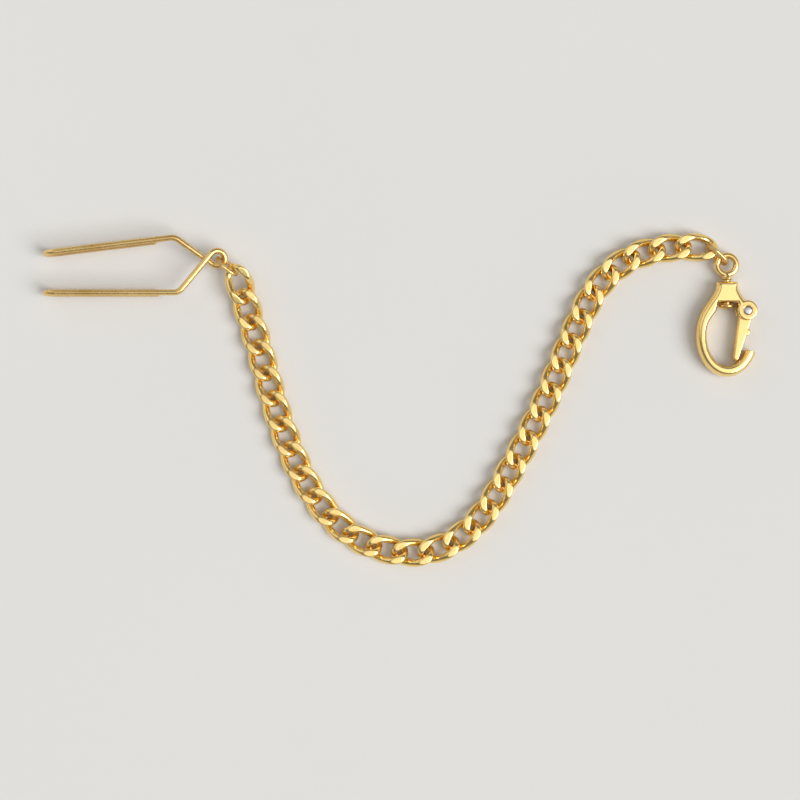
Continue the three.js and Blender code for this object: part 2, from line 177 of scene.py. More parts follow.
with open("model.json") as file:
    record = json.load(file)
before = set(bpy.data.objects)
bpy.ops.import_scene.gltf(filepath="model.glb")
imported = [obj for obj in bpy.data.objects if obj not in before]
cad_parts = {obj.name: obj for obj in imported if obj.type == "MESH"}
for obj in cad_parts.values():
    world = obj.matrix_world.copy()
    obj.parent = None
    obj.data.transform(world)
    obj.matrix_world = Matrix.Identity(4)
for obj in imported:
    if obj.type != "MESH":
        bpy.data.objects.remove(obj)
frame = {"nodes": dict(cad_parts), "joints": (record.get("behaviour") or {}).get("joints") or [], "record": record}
cad_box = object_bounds()
joints = {joint["name"]: joint for joint in frame["joints"]}


# ---- Materials ----

MM_PER_METRE = 1000.0
PIECE_SHIFT = (37.0, 61.0, 23.0)  # how far a piece can be shifted in the noises, in millimetres

# Noise scales: features to a millimetre on the metals, to a metre on the floor
TONE_SCALE = 0.22
MOTTLE_SCALE = 2.6
SCRATCH_SCALE = 3.0
RIPPLE_SCALE = 1.3
STEEL_TONE_SCALE = 0.9
STEEL_BRUSH_SCALE = 4.0
FLOOR_TONE_SCALE = 9.0
FLOOR_GRAIN_SCALE = 900.0

# The stretch of a noise's values over which an effect goes from none to full
TONE_RANGE = (0.35, 0.65)
SHADE_AND_DIRT_RANGE = (0.35, 0.7)
SMEAR_RANGE = (0.3, 0.7)
SCRATCH_RANGE = (0.56, 0.62)

# Gold plate
WORN_TONE = 0.25  # how much of the drift in tone is left on a worn face
LEAST_SHADE_AND_DIRT = 0.35  # how much of the painted shade and dirt is left where it is patchy
WORN_DEPTH = 0.2  # how far down from a face it is worn, as a share of half the thickness
SCRATCH_ROUGHNESS = 0.1
DIRT_ROUGHNESS = 0.22
SCRATCH_RELIEF = -0.12  # against 1 for the ripples
GOLD_RELIEF = (0.35, 0.02 * MM)  # strength and depth of the bump

# Steel
STEEL_BRIGHT = (0.56, 0.56, 0.57, 1)
STEEL_DEEP = (0.40, 0.40, 0.42, 1)
STEEL_GLOSS = (0.22, 0.42)
STEEL_GRAIN = (0.4, 3.0, 3.0)
STEEL_RELIEF = (0.3, 0.01 * MM)

# Floor
FLOOR_DIM = (0.76, 0.75, 0.73, 1)
FLOOR_PALE = (0.79, 0.78, 0.76, 1)
FLOOR_ROUGHNESS = 0.9
FLOOR_SHEEN = 0.15
FLOOR_RELIEF = (0.15, 0.05 * MM)


def node_tree(name):
    material = bpy.data.materials.new(name)
    material.use_nodes = True
    tree = material.node_tree
    tree.nodes.clear()
    output = tree.nodes.new("ShaderNodeOutputMaterial")
    shader = tree.nodes.new("ShaderNodeBsdfPrincipled")
    tree.links.new(shader.outputs["BSDF"], output.inputs["Surface"])
    return material, tree, shader


def add_node(tree, kind, inputs=None, **settings):
    """A shader node with its settings, and its inputs given as numbers or other nodes' outputs."""
    node = tree.nodes.new("ShaderNode" + kind)
    for key, value in settings.items():
        setattr(node, key, value)
    for key, value in (inputs or {}).items():
        if isinstance(value, bpy.types.NodeSocket):
            tree.links.new(value, node.inputs[key])
        else:
            node.inputs[key].default_value = value
    return node


def noise(tree, place, scale, detail=2.0, roughness=0.5, stretch=None):
    """A noise with so many features to a unit of its place, stretched along an axis if asked."""
    if stretch:
        place = add_node(tree, "Mapping", {"Vector": place, "Scale": stretch}).outputs["Vector"]
    inputs = {"Vector": place, "Scale": scale, "Detail": detail, "Roughness": roughness}
    return add_node(tree, "TexNoise", inputs).outputs["Fac"]


def remap(tree, value, low, high, to_low=0.0, to_high=1.0, curve="LINEAR"):
    """The value carried from one range to another, and held at its ends."""
    inputs = {"Value": value, "From Min": low, "From Max": high, "To Min": to_low, "To Max": to_high}
    return add_node(tree, "MapRange", inputs, interpolation_type=curve).outputs["Result"]


def math_node(tree, operation, *values):
    return add_node(tree, "Math", dict(enumerate(values)), operation=operation).outputs["Value"]


def mix_colour(tree, share, a, b):
    """Two colours mixed. A Mix node's colours are its inputs 6 and 7, and its output 2."""
    return add_node(tree, "Mix", {0: share, 6: a, 7: b}, data_type="RGBA").outputs[2]


def piece_coordinates(tree):
    """Millimetre coordinates on a piece, shifted so that no two pieces are marked alike."""
    place = add_node(tree, "TexCoord").outputs["Object"]
    chance = add_node(tree, "ObjectInfo").outputs["Random"]
    shift = add_node(tree, "VectorMath", {0: PIECE_SHIFT, "Scale": chance}, operation="SCALE")
    inputs = {0: place, 1: (MM_PER_METRE,) * 3, 2: shift.outputs["Vector"]}
    return add_node(tree, "VectorMath", inputs, operation="MULTIPLY_ADD").outputs["Vector"]


def add_relief(tree, shader, height, relief):
    """Roughens a surface by a height. relief is the strength and the depth of the bump."""
    strength, depth = relief
    bump = add_node(tree, "Bump", {"Strength": strength, "Distance": depth, "Height": height})
    tree.links.new(bump.outputs["Normal"], shader.inputs["Normal"])


def gilt(name, bright, deep, grime_and_shade, gloss, grain):
    """Gold plate: a tone that drifts over the piece, brighter filed and worn faces, dull dark metal
    where pieces rub or dirt collects, which also paints shade into hollows, between parts and
    underneath, and fine scratches. gloss is the lowest and the highest roughness, and grain
    squeezes the scratches along each axis."""
    material, tree, shader = node_tree(name)
    place = piece_coordinates(tree)
    shader.inputs["Metallic"].default_value = 1.0

    worn = add_node(tree, "Attribute", attribute_name="worn").outputs["Fac"]
    drift = remap(tree, noise(tree, place, TONE_SCALE, detail=3.0), *TONE_RANGE)
    unworn = remap(tree, worn, 0.0, 1.0, 1.0, WORN_TONE)
    tone = mix_colour(tree, math_node(tree, "MULTIPLY", drift, unworn), bright, deep)

    # Painted shade and dirt: the mask read here darkens the colour to a dull brown in hollows, between parts and
    # underneath, in patches, and roughens it.
    shade_and_dirt = add_node(tree, "Attribute", attribute_name="shade_and_dirt").outputs["Fac"]
    mottle = noise(tree, place, MOTTLE_SCALE, detail=4.0, roughness=0.6)
    patchy = remap(tree, mottle, *SHADE_AND_DIRT_RANGE, LEAST_SHADE_AND_DIRT, 1.0)
    patchy_shade_and_dirt = math_node(tree, "MULTIPLY", shade_and_dirt, patchy)
    tree.links.new(mix_colour(tree, patchy_shade_and_dirt, tone, grime_and_shade), shader.inputs["Base Color"])

    scratch_noise = noise(tree, place, SCRATCH_SCALE, detail=2.0, roughness=0.7, stretch=grain)
    scratches = remap(tree, scratch_noise, *SCRATCH_RANGE)
    smear = remap(tree, mottle, *SMEAR_RANGE, *gloss)
    scratched = math_node(tree, "MULTIPLY_ADD", scratches, SCRATCH_ROUGHNESS, smear)
    dulled = math_node(tree, "MULTIPLY_ADD", patchy_shade_and_dirt, DIRT_ROUGHNESS, scratched)
    tree.links.new(dulled, shader.inputs["Roughness"])

    ripple = noise(tree, place, RIPPLE_SCALE)
    height = math_node(tree, "MULTIPLY_ADD", scratches, SCRATCH_RELIEF, ripple)
    add_relief(tree, shader, height, GOLD_RELIEF)
    return material


def spring_steel(name):
    material, tree, shader = node_tree(name)
    place = piece_coordinates(tree)
    shader.inputs["Metallic"].default_value = 1.0
    drift = remap(tree, noise(tree, place, STEEL_TONE_SCALE, detail=3.0), *TONE_RANGE)
    tone = mix_colour(tree, drift, STEEL_BRIGHT, STEEL_DEEP)
    tree.links.new(tone, shader.inputs["Base Color"])
    brushed = noise(tree, place, STEEL_BRUSH_SCALE, detail=3.0, roughness=0.6, stretch=STEEL_GRAIN)
    tree.links.new(remap(tree, brushed, *SMEAR_RANGE, *STEEL_GLOSS), shader.inputs["Roughness"])
    add_relief(tree, shader, brushed, STEEL_RELIEF)
    return material


def matt_floor(name):
    material, tree, shader = node_tree(name)
    place = add_node(tree, "TexCoord").outputs["Object"]
    drift = noise(tree, place, FLOOR_TONE_SCALE, detail=3.0)
    tone = mix_colour(tree, drift, FLOOR_DIM, FLOOR_PALE)
    tree.links.new(tone, shader.inputs["Base Color"])
    shader.inputs["Roughness"].default_value = FLOOR_ROUGHNESS
    shader.inputs["Specular IOR Level"].default_value = FLOOR_SHEEN
    add_relief(tree, shader, noise(tree, place, FLOOR_GRAIN_SCALE), FLOOR_RELIEF)
    return material


CHAIN_GOLD = gilt(
    "chain_gold",
    bright=(1.0, 0.74, 0.30, 1),
    deep=(0.96, 0.66, 0.22, 1),
    grime_and_shade=(0.42, 0.23, 0.06, 1),
    gloss=(0.13, 0.24),
    grain=(1.0, 6.0, 6.0),
)
WIRE_GOLD = gilt(
    "wire_gold",
    bright=(0.92, 0.66, 0.28, 1),
    deep=(0.78, 0.52, 0.19, 1),
    grime_and_shade=(0.36, 0.20, 0.06, 1),
    gloss=(0.22, 0.36),
    grain=(0.5, 7.0, 7.0),
)
CLASP_GOLD = gilt(
    "clasp_gold",
    bright=(1.0, 0.74, 0.31, 1),
    deep=(0.95, 0.65, 0.23, 1),
    grime_and_shade=(0.40, 0.22, 0.06, 1),
    gloss=(0.12, 0.26),
    grain=(1.5, 5.0, 5.0),
)
STEEL = spring_steel("spring_steel")


# ---- Mesh helpers ----


def unit(ways):
    """The same ways, each one a unit long."""
    return ways / np.linalg.norm(ways, axis=-1, keepdims=True)


def add_attribute(mesh, name, values):
    """One number for each point of a mesh, for its material to read."""
    attribute = mesh.attributes.new(name, "FLOAT", "POINT")
    attribute.data.foreach_set("value", np.asarray(values, np.float32))


def face_share(points, top):
    """How far each point belongs to the faces above and below, which rub on cloth: 1 on a face,
    0 beneath it."""
    return np.clip(1 - (1 - np.abs(points[:, 2]) / top) / WORN_DEPTH, 0, 1)


def new_mesh(name, vertices, faces):
    mesh = bpy.data.meshes.new(name)
    mesh.from_pydata([tuple(v) for v in vertices], [], [tuple(f) for f in faces])
    return mesh


def new_object(name, data):
    made = bpy.data.objects.new(name, data)
    bpy.context.scene.collection.objects.link(made)
    return made


def mesh_piece(name, vertices, faces, material, attributes):
    """A finished piece, with its material and the measures of wear that the material reads."""
    mesh = new_mesh(name, vertices, faces)
    mesh.validate()
    for key, values in attributes.items():
        add_attribute(mesh, key, values)
    mesh.materials.append(material)
    mesh.shade_smooth()
    return new_object(name, mesh)


def path_frames(points, closed, level):
    """At each point of a path: the way it runs, and two directions across it. The first of them
    stays square to level, or without level the pair is carried along without twisting."""
    if closed:
        ahead = unit(np.roll(points, -1, axis=0) - points)
        along = unit(ahead + np.roll(ahead, 1, axis=0))
    else:
        ahead = unit(np.diff(points, axis=0))
        along = unit(np.vstack([ahead[:1], ahead[:-1] + ahead[1:], ahead[-1:]]))
    if level is not None:
        across = unit(np.cross(level, along))
        return along, across, np.cross(along, across)
    across = [unit(np.cross(UP, along[0]))]
    for direction in along[1:]:
        carried = across[-1] - direction * (across[-1] @ direction)
        across.append(unit(carried))
    across = np.array(across)
    return along, across, np.cross(along, across)


def grid_faces(rows, columns, wrap_rows):
    """Quads over a grid of vertices whose columns go round."""
    faces = []
    for i in range(rows if wrap_rows else rows - 1):
        row, following = i * columns, ((i + 1) % rows) * columns
        for j in range(columns):
            k = (j + 1) % columns
            faces.append((row + j, row + k, following + k, following + j))
    return faces


def end_caps(columns, count):
    """The two faces that close the first and the last row of a grid of count vertices."""
    return [tuple(reversed(range(columns))), tuple(range(count - columns, count))]


def swept_wire(points, radius, sides, closed=False, level=None, radii=None):
    """Vertices and faces of a round wire along a path, with rounded tips if it is open. radii
    gives a wire of varying thickness."""
    points = np.asarray(points)
    along, across, over = path_frames(points, closed, level)
    sizes = np.full(len(points), radius) if radii is None else radii
    if not closed:
        reach = (np.sin(TIP_ANGLES) * radius)[:, None]
        before, after = points[0] - along[0] * reach[::-1], points[-1] + along[-1] * reach
        points = np.vstack([before, points, after])
        both_ends = ((len(TIP_ANGLES), len(TIP_ANGLES)), (0, 0))
        across, over = np.pad(across, both_ends, mode="edge"), np.pad(over, both_ends, mode="edge")
        small = np.cos(TIP_ANGLES) * radius
        sizes = np.concatenate([small[::-1], sizes, small])
    turn = 2 * math.pi * (np.arange(sides) + 0.5) / sides
    spokes = across[:, None] * np.cos(turn)[:, None] + over[:, None] * np.sin(turn)[:, None]
    vertices = (points[:, None] + spokes * sizes[:, None, None]).reshape(-1, 3)
    faces = grid_faces(len(points), sides, closed)
    if not closed:
        faces += end_caps(sides, len(vertices))
    return vertices, faces


def lathe(profile, sides):
    """Vertices and faces of a solid turned round the x axis, from a profile of (x, radius)."""
    turn = 2 * math.pi * np.arange(sides) / sides
    vertices = [
        (x, radius * math.cos(angle), radius * math.sin(angle))
        for x, radius in profile
        for angle in turn
    ]
    return vertices, grid_faces(len(profile), sides, False) + end_caps(sides, len(vertices))


def dome(start, end, radius, steps=8):
    """Profile points of a rounded head, from full width at start to nearly nothing at end."""
    angles = np.linspace(0, DOME_TOP, steps)
    return [(start + (end - start) * math.sin(a), radius * math.cos(a)) for a in angles]


# ---- Curb links ----


def link_mesh():
    """One link: an oval of round wire that climbs over on one side and dives under on the other,
    filed flat above and below. Its inside is darkened with painted shade and dirt, most of all
    near its ends, where the next link passes through and rubs."""
    turn = 2 * math.pi * np.arange(LINK_STATIONS) / LINK_STATIONS
    middle = np.column_stack([
        LINK_HALF_LENGTH * np.cos(turn),
        LINK_HALF_WIDTH * np.sin(turn),
        -LINK_RISE * np.sin(2 * turn),
    ])
    radius = LINK_WIRE / 2 * ROUND_SHARE
    vertices, faces = swept_wire(middle, radius, LINK_SIDES, closed=True, level=UP)
    over = np.abs(vertices[:, 2]) - LINK_FLAT
    cut = LINK_FLAT_EDGE * np.logaddexp(0, over / LINK_FLAT_EDGE)
    vertices[:, 2] -= np.sign(vertices[:, 2]) * cut
    # Painted shade and dirt: darker on the inside of the wire, where the neighbouring links lie, most of all near
    # the link's ends.
    outward = vertices - np.repeat(middle, LINK_SIDES, axis=0)
    centre_way = unit(np.repeat(middle * [1, 1, 0], LINK_SIDES, axis=0))
    inside = -np.sum(unit(outward) * centre_way, axis=1)
    near_end = np.abs(np.repeat(middle[:, 0], LINK_SIDES)) / LINK_HALF_LENGTH
    shade_and_dirt = np.clip(inside, 0, 1) * (LINK_SHADE_AND_DIRT + LINK_END_SHADE_AND_DIRT * near_end ** 2)
    return vertices, faces, {"shade_and_dirt": shade_and_dirt, "worn": face_share(vertices, LINK_FLAT)}


def surface_frame(node):
    """How a symmetric CAD node lies: the middle of its surface, and its axes from the longest to
    the shortest. Each face counts by its area, at its middle and three points round it."""
    mesh = frame["nodes"][node].data
    mesh.calc_loop_triangles()
    points = np.array([v.co for v in mesh.vertices])
    corners = points[np.array([t.vertices[:] for t in mesh.loop_triangles])]
    sides = corners[:, 1] - corners[:, 0], corners[:, 2] - corners[:, 0]
    areas = np.linalg.norm(np.cross(*sides), axis=1)
    centres = corners.mean(axis=1)
    samples = np.vstack([centres, *(0.5 * (corners[:, i] + centres) for i in range(3))])
    weights = np.tile(areas, 4)
    middle = np.average(samples, axis=0, weights=weights)
    spread = np.cov((samples - middle).T, aweights=weights)
    _, axes = np.linalg.eigh(spread)
    return middle, axes.T[::-1]


def placed(middle, along, across, over):
    """The matrix that carries a shape's own axes to three directions, and its origin to middle."""
    matrix = Matrix.Identity(4)
    for column, direction in enumerate((along, across, over)):
        for row in range(3):
            matrix[row][column] = direction[row]
    matrix.translation = Vector(middle)
    return matrix


def lay_on(piece, node, over_rank):
    """Puts a symmetric piece where its CAD node lies: its x axis on the node's longest axis, and
    its z axis on the second longest (rank 1) or the shortest (rank 2)."""
    middle, axes = surface_frame(node)
    along = axes[0] if axes[0][0] > 0 else -axes[0]
    over = axes[over_rank] if axes[over_rank][2] > 0 else -axes[over_rank]
    piece.matrix_world = placed(middle, along, np.cross(over, along), over)


def body_of(node):
    bodies = frame["record"]["behaviour"]["bodies"]
    return next(body for body, nodes in bodies.items() if node in nodes)


def stand_for(piece, node):
    """The piece shows in place of a CAD node and moves with its body."""
    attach(piece, body_of(node))
    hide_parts(node)


def add_links():
    vertices, faces, attributes = link_mesh()
    for number in range(1, LINKS + 1):
        node = f"curb_link_{number:02d}"
        piece = mesh_piece(f"gilt_link_{number:02d}", vertices, faces, CHAIN_GOLD, attributes)
        lay_on(piece, node, over_rank=2)
        stand_for(piece, node)


# ---- Jump rings ----


def add_ring(node, name, wire):
    """An oval jump ring between the chain and another wire, with the fine cut where it opens."""
    inner_length = RING_REACH + (LINK_WIRE + wire) / 2 + 2 * RING_CLEARANCE
    straight = inner_length - RING_GAP_WIDTH
    radius = (RING_GAP_WIDTH + RING_WIRE) / 2
    bend = np.linspace(-math.pi / 2, math.pi / 2, RING_BEND_STATIONS)
    run = np.linspace(0.5, -0.5, RING_SIDE_STATIONS)[1:-1] * straight
    cap = np.column_stack([straight / 2 + radius * np.cos(bend), 0 * bend, radius * np.sin(bend)])
    side = np.column_stack([run, 0 * run, 0 * run + radius])
    points = np.vstack([cap, side, cap * [-1, 1, -1], side * [-1, 1, -1]])
    from_seam = np.linalg.norm(points - [0, 0, radius], axis=1)
    wire_radius = RING_WIRE / 2 * ROUND_SHARE
    radii = wire_radius - RING_SEAM_DEPTH * np.exp(-((from_seam / (RING_SEAM_WIDTH / 2)) ** 2))
    vertices, faces = swept_wire(
        points, wire_radius, sides=24, closed=True, level=SIDEWAYS, radii=radii
    )
    # Painted shade and dirt at the ring's round ends, where the wires it holds pass through.
    ends = np.clip((np.abs(vertices[:, 0]) - straight / 2) / radius, 0, 1)
    piece = mesh_piece(name, vertices, faces, WIRE_GOLD, {"shade_and_dirt": RING_SHADE_AND_DIRT * ends ** 2})
    lay_on(piece, node, over_rank=1)
    stand_for(piece, node)


# ---- Placket hook ----


def bent_path(stops, step=math.radians(5)):
    """A wire's path through straight runs and round bends: (corner, bend radius) in order."""
    points = []
    for i, (corner, radius) in enumerate(stops):
        if not radius:
            points.append(corner)
            continue
        before = unit(corner - stops[i - 1][0])
        after = unit(stops[i + 1][0] - corner)
        turn = math.acos(np.clip(before @ after, -1, 1))
        inward = unit(after - before * (before @ after))
        start = corner - before * radius * math.tan(turn / 2)
        for angle in np.linspace(0, turn, math.ceil(turn / step) + 1):
            ahead = before * radius * math.sin(angle)
            aside = inward * radius * (1 - math.cos(angle))
            points.append(start + ahead + aside)
    return np.array(points)


def evenly(points, spacing):
    """The same path with points at an even spacing."""
    runs = np.linalg.norm(np.diff(points, axis=0), axis=1)
    reached = np.concatenate([[0], np.cumsum(runs)])
    stations = np.linspace(0, reached[-1], round(reached[-1] / spacing) + 1)
    return np.column_stack([np.interp(stations, reached, points[:, k]) for k in range(3)])


def eased(points, reach):
    """The path with its kinks rounded off over a few points either way, and its ends kept."""
    weights = np.exp(-0.5 * (np.arange(-3 * reach, 3 * reach + 1) / reach) ** 2)
    weights /= weights.sum()
    padded = np.pad(points, ((3 * reach, 3 * reach), (0, 0)), mode="reflect", reflect_type="odd")
    return np.column_stack([np.convolve(padded[:, k], weights, mode="valid") for k in range(3)])


def tangent_angle(kink, side):
    """Where on the nose eye, as an angle, the straight wire from a kink runs onto it."""
    return math.atan2(kink[1], kink[0]) - side * math.acos(NOSE_EYE_RADIUS / math.hypot(*kink))


def hook_path():
    """The hook's wire from one prong tip to the other, with its nose eye round x = y = 0."""
    prong = HOOK_WIRE / 2
    leg = prong + HOOK_WIRE + CLOTH_GAP
    entry = tangent_angle(LOWER_KINK, 1)
    sweep = (entry - tangent_angle(UPPER_KINK, -1)) % (2 * math.pi)
    eye = []
    for share in np.linspace(0, 1, NOSE_EYE_STATIONS):
        angle = entry - sweep * share
        spoke = (NOSE_EYE_RADIUS * math.cos(angle), NOSE_EYE_RADIUS * math.sin(angle))
        eye.append((np.array([*spoke, leg - NOSE_EYE_DROP * share]), 0))

    def half(kink, bend):
        back, front = np.array([*bend, prong]), np.array([*bend, leg])
        tip = back + (np.array([*kink, prong]) - back) * PRONG_SHARE
        hairpin = (leg - prong) / 2
        return [(tip, 0), (back, hairpin), (front, hairpin), (np.array([*kink, leg]), KINK_RADIUS)]

    return bent_path([*half(LOWER_KINK, LOWER_BEND), *eye, *reversed(half(UPPER_KINK, UPPER_BEND))])


def add_hook():
    path = eased(evenly(hook_path(), HOOK_STEP), reach=1)
    low, high = (np.array(corner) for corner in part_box("placket_hook"))
    path += (low + high) / 2 - (path.min(axis=0) + path.max(axis=0)) / 2
    vertices, faces = swept_wire(path, HOOK_WIRE / 2 * ROUND_SHARE, sides=28)
    middle = (low + high) / 2
    vertices = vertices - middle
    # Painted shade and dirt: the wire darkens from its middle height down to its lowest side, under the front
    # legs.
    lowness = np.clip(-vertices[:, 2] / (high[2] - low[2]) * 2, 0, 1)
    piece = mesh_piece("gilt_placket_hook", vertices, faces, WIRE_GOLD, {"shade_and_dirt": HOOK_SHADE_AND_DIRT * lowness})
    piece.location = middle
    stand_for(piece, "placket_hook")


# ---- Swivel clasp ----


def clasp_matrix():
    """The clasp's own frame in the part's: x along the stem from the middle of the swivel's eye."""
    swivel = joints["clasp_swivel"]
    along = unit(np.array(swivel["axis"], float))
    across = unit(np.cross(UP, along))
    return placed(swivel["pos_m"], along, across, np.cross(along, across))


def pear(back, sides_start, half_width, swell, radii, steps=28):
    """The points of a pear outline: a straight back, sides that swell along a Bezier curve, and
    a round end. swell is how far the curve's two handles reach."""
    length, radius = radii
    handles = np.array([
        (sides_start, -half_width),
        (sides_start + swell[0], -half_width),
        (BOW_CENTRE - swell[1], -radius),
        (BOW_CENTRE, -radius),
    ])
    share = np.linspace(0, 1, steps)[:, None]
    rest = 1 - share
    weights = [rest ** 3, 3 * share * rest ** 2, 3 * share ** 2 * rest, share ** 3]
    side = sum(weight * handle for weight, handle in zip(weights, handles))
    turn = np.linspace(-math.pi / 2, math.pi / 2, 2 * steps)[1:-1]
    bow = np.column_stack([BOW_CENTRE + length * np.cos(turn), radius * np.sin(turn)])
    return np.vstack([[(back, -half_width)], side, bow, side[::-1] * [1, -1], [(back, half_width)]])


def slab(outline, low, high, edge=None, steps=6):
    """Vertices and faces of a flat solid over an outline. An edge (inset, height) is rounded over
    like a quarter of an ellipse. With a negative inset it flares, to cut a window that has
    rounded edges."""
    outline = np.asarray(outline)
    ahead = unit(np.roll(outline, -1, axis=0) - outline)
    inward = unit(ahead + np.roll(ahead, 1, axis=0)) @ np.array([[0, 1], [-1, 0]])
    rows = [(0.0, low), (0.0, high)]
    if edge:
        angles = np.linspace(0, math.pi / 2, steps + 1)
        rows = [(edge[0] * (1 - math.sin(a)), low + edge[1] * (1 - math.cos(a))) for a in angles]
        rows += [(inset, low + high - z) for inset, z in reversed(rows)]
    vertices = []
    for inset, z in rows:
        vertices += [(*point, z) for point in outline + inward * inset]
    count = len(outline)
    return vertices, end_caps(count, len(vertices)) + grid_faces(len(rows), count, False)


def arc(centre, radius, angles):
    across, up = radius * np.cos(angles), radius * np.sin(angles)
    return np.column_stack([centre[0] + across, centre[1] + up])


def circle(centre, radius, sides=48):
    return arc(centre, radius, 2 * math.pi * np.arange(sides) / sides)


def two_circle_hull(a, radius_a, b, radius_b, steps=24):
    """The outline of two circles with a band drawn tight round them, counterclockwise."""
    a, b = np.array(a), np.array(b)
    way = math.atan2(*(b - a)[::-1])
    lean = math.acos((radius_a - radius_b) / np.linalg.norm(b - a))
    round_b = arc(b, radius_b, np.linspace(way - lean, way + lean, steps))
    round_a = arc(a, radius_a, np.linspace(way + lean, way - lean + 2 * math.pi, steps))
    return np.vstack([round_b, round_a])


def scratch_object(vertices, faces):
    return new_object("scratch", new_mesh("scratch", vertices, faces))


def apply_modifiers(piece):
    graph = bpy.context.evaluated_depsgraph_get()
    mesh = bpy.data.meshes.new_from_object(piece.evaluated_get(graph))
    piece.modifiers.clear()
    old, piece.data = piece.data, mesh
    bpy.data.meshes.remove(old)


def cut_and_join(base, steps):
    """Cuts shapes from an object and joins others to it. A step is "UNION" or "DIFFERENCE" and
    a shape's (vertices, faces)."""
    for operation, shape in steps:
        tool = scratch_object(*shape)
        modifier = base.modifiers.new("boolean", "BOOLEAN")
        modifier.operation, modifier.solver, modifier.object = operation, "EXACT", tool
        apply_modifiers(base)
        bpy.data.objects.remove(tool)


def cast(piece, voxel, smoothing):
    """Runs a solid together into one skin with softened edges, like a casting after tumbling."""
    remesh = piece.modifiers.new("remesh", "REMESH")
    remesh.mode, remesh.voxel_size, remesh.adaptivity = "VOXEL", voxel, 0.0
    smooth = piece.modifiers.new("smooth", "SMOOTH")
    smooth.factor, smooth.iterations = SMOOTH_FACTOR, smoothing
    apply_modifiers(piece)


def finish_clasp_piece(piece, name, node, material, shade_and_dirt=None):
    """Names a clasp piece, gives it its finish and puts it in the clasp's place. The last argument
    takes the piece's points and says how much painted shade and dirt each one has."""
    piece.name = piece.data.name = name
    points = np.array([v.co for v in piece.data.vertices])
    if shade_and_dirt:
        add_attribute(piece.data, "shade_and_dirt", shade_and_dirt(points))
        add_attribute(piece.data, "worn", face_share(points, np.abs(points[:, 2]).max()))
    piece.data.materials.clear()
    piece.data.materials.append(material)
    piece.data.shade_smooth()
    piece.matrix_world = clasp_matrix()
    stand_for(piece, node)


def rod(radius, start, end, sides=32):
    """Vertices and faces of a plain rod along the x axis."""
    return lathe([(start, 0), (start, radius), (end, radius), (end, 0)], sides)


def add_clasp_body():
    half = CLASP_THICKNESS / 2
    outer = pear(COLLAR_START, COLLAR_END, COLLAR_HALF_WIDTH, OUTER_SWELL, OUTER_RADII)
    sides_start = WINDOW_START + WINDOW_CORNER
    window = pear(WINDOW_START, sides_start, WINDOW_HALF_WIDTH, WINDOW_SWELL, WINDOW_RADII)
    outside = OUTER_RADII[1] + CUT_OVERRUN
    mouth = [
        (MOUTH_START, MOUTH_INSIDE),
        (MOUTH_END_INSIDE, MOUTH_INSIDE),
        (MOUTH_END_OUTSIDE, outside),
        (MOUTH_START, outside),
    ]
    ear_slot = circle(HINGE, EAR_RADIUS + EAR_SLOT_MARGIN)
    rivet_hole = circle(HINGE, RIVET_RADIUS + RIVET_CLEARANCE)
    window_half = half + FLARE_OVERRUN
    piece = scratch_object(*slab(outer, -half, half, CLASP_EDGE))
    cut_and_join(piece, [
        ("DIFFERENCE", slab(window, -window_half, window_half, WINDOW_EDGE)),
        ("DIFFERENCE", slab(mouth, -2 * half, 2 * half)),
        ("UNION", slab(circle(HINGE, EAR_RADIUS), -half, half, EAR_EDGE)),
        ("DIFFERENCE", slab(ear_slot, -EAR_SLOT / 2, EAR_SLOT / 2)),
        ("DIFFERENCE", slab(rivet_hole, -2 * half, 2 * half)),
        ("DIFFERENCE", rod(BORE_RADIUS, COLLAR_START - CUT_OVERRUN, WINDOW_START + CUT_OVERRUN)),
    ])
    cast(piece, BODY_VOXEL, BODY_SMOOTHING)

    # Painted shade and dirt round the rivet, where the gate's knuckle sits in the ear slot.
    def shade_and_dirt(points):
        from_hinge = np.hypot(points[:, 0] - HINGE[0], points[:, 1] - HINGE[1])
        return HINGE_SHADE_AND_DIRT * np.exp(-((from_hinge - RIVET_RADIUS) / HINGE_SHADE_AND_DIRT_REACH) ** 2)

    finish_clasp_piece(piece, "gilt_clasp_body", "clasp_body", CLASP_GOLD, shade_and_dirt)


def add_clasp_gate():
    half = GATE_THICKNESS / 2
    lever = two_circle_hull(HINGE, GATE_KNUCKLE_RADIUS, GATE_TIP, GATE_TIP_RADIUS)
    pocket = circle(HINGE, GATE_POCKET_RADIUS)
    rivet_hole = circle(HINGE, RIVET_RADIUS + RIVET_CLEARANCE)
    piece = scratch_object(*slab(lever, -half, half, GATE_EDGE))
    cut_and_join(piece, [
        ("UNION", slab(circle(GATE_NIB, GATE_NIB_RADIUS), -half, half, GATE_EDGE)),
        ("DIFFERENCE", slab(pocket, GATE_POCKET_FLOOR, 2 * half)),
        ("DIFFERENCE", slab(rivet_hole, -2 * half, 2 * half)),
    ])
    cast(piece, SMALL_VOXEL, SMALL_SMOOTHING)

    # Painted shade and dirt across the knuckle, where it sits between the clasp's ears.
    def shade_and_dirt(points):
        return GATE_SHADE_AND_DIRT * np.exp(-((points[:, 0] - HINGE[0]) / GATE_SHADE_AND_DIRT_REACH) ** 2)

    finish_clasp_piece(piece, "gilt_clasp_gate", "clasp_gate", CLASP_GOLD, shade_and_dirt)


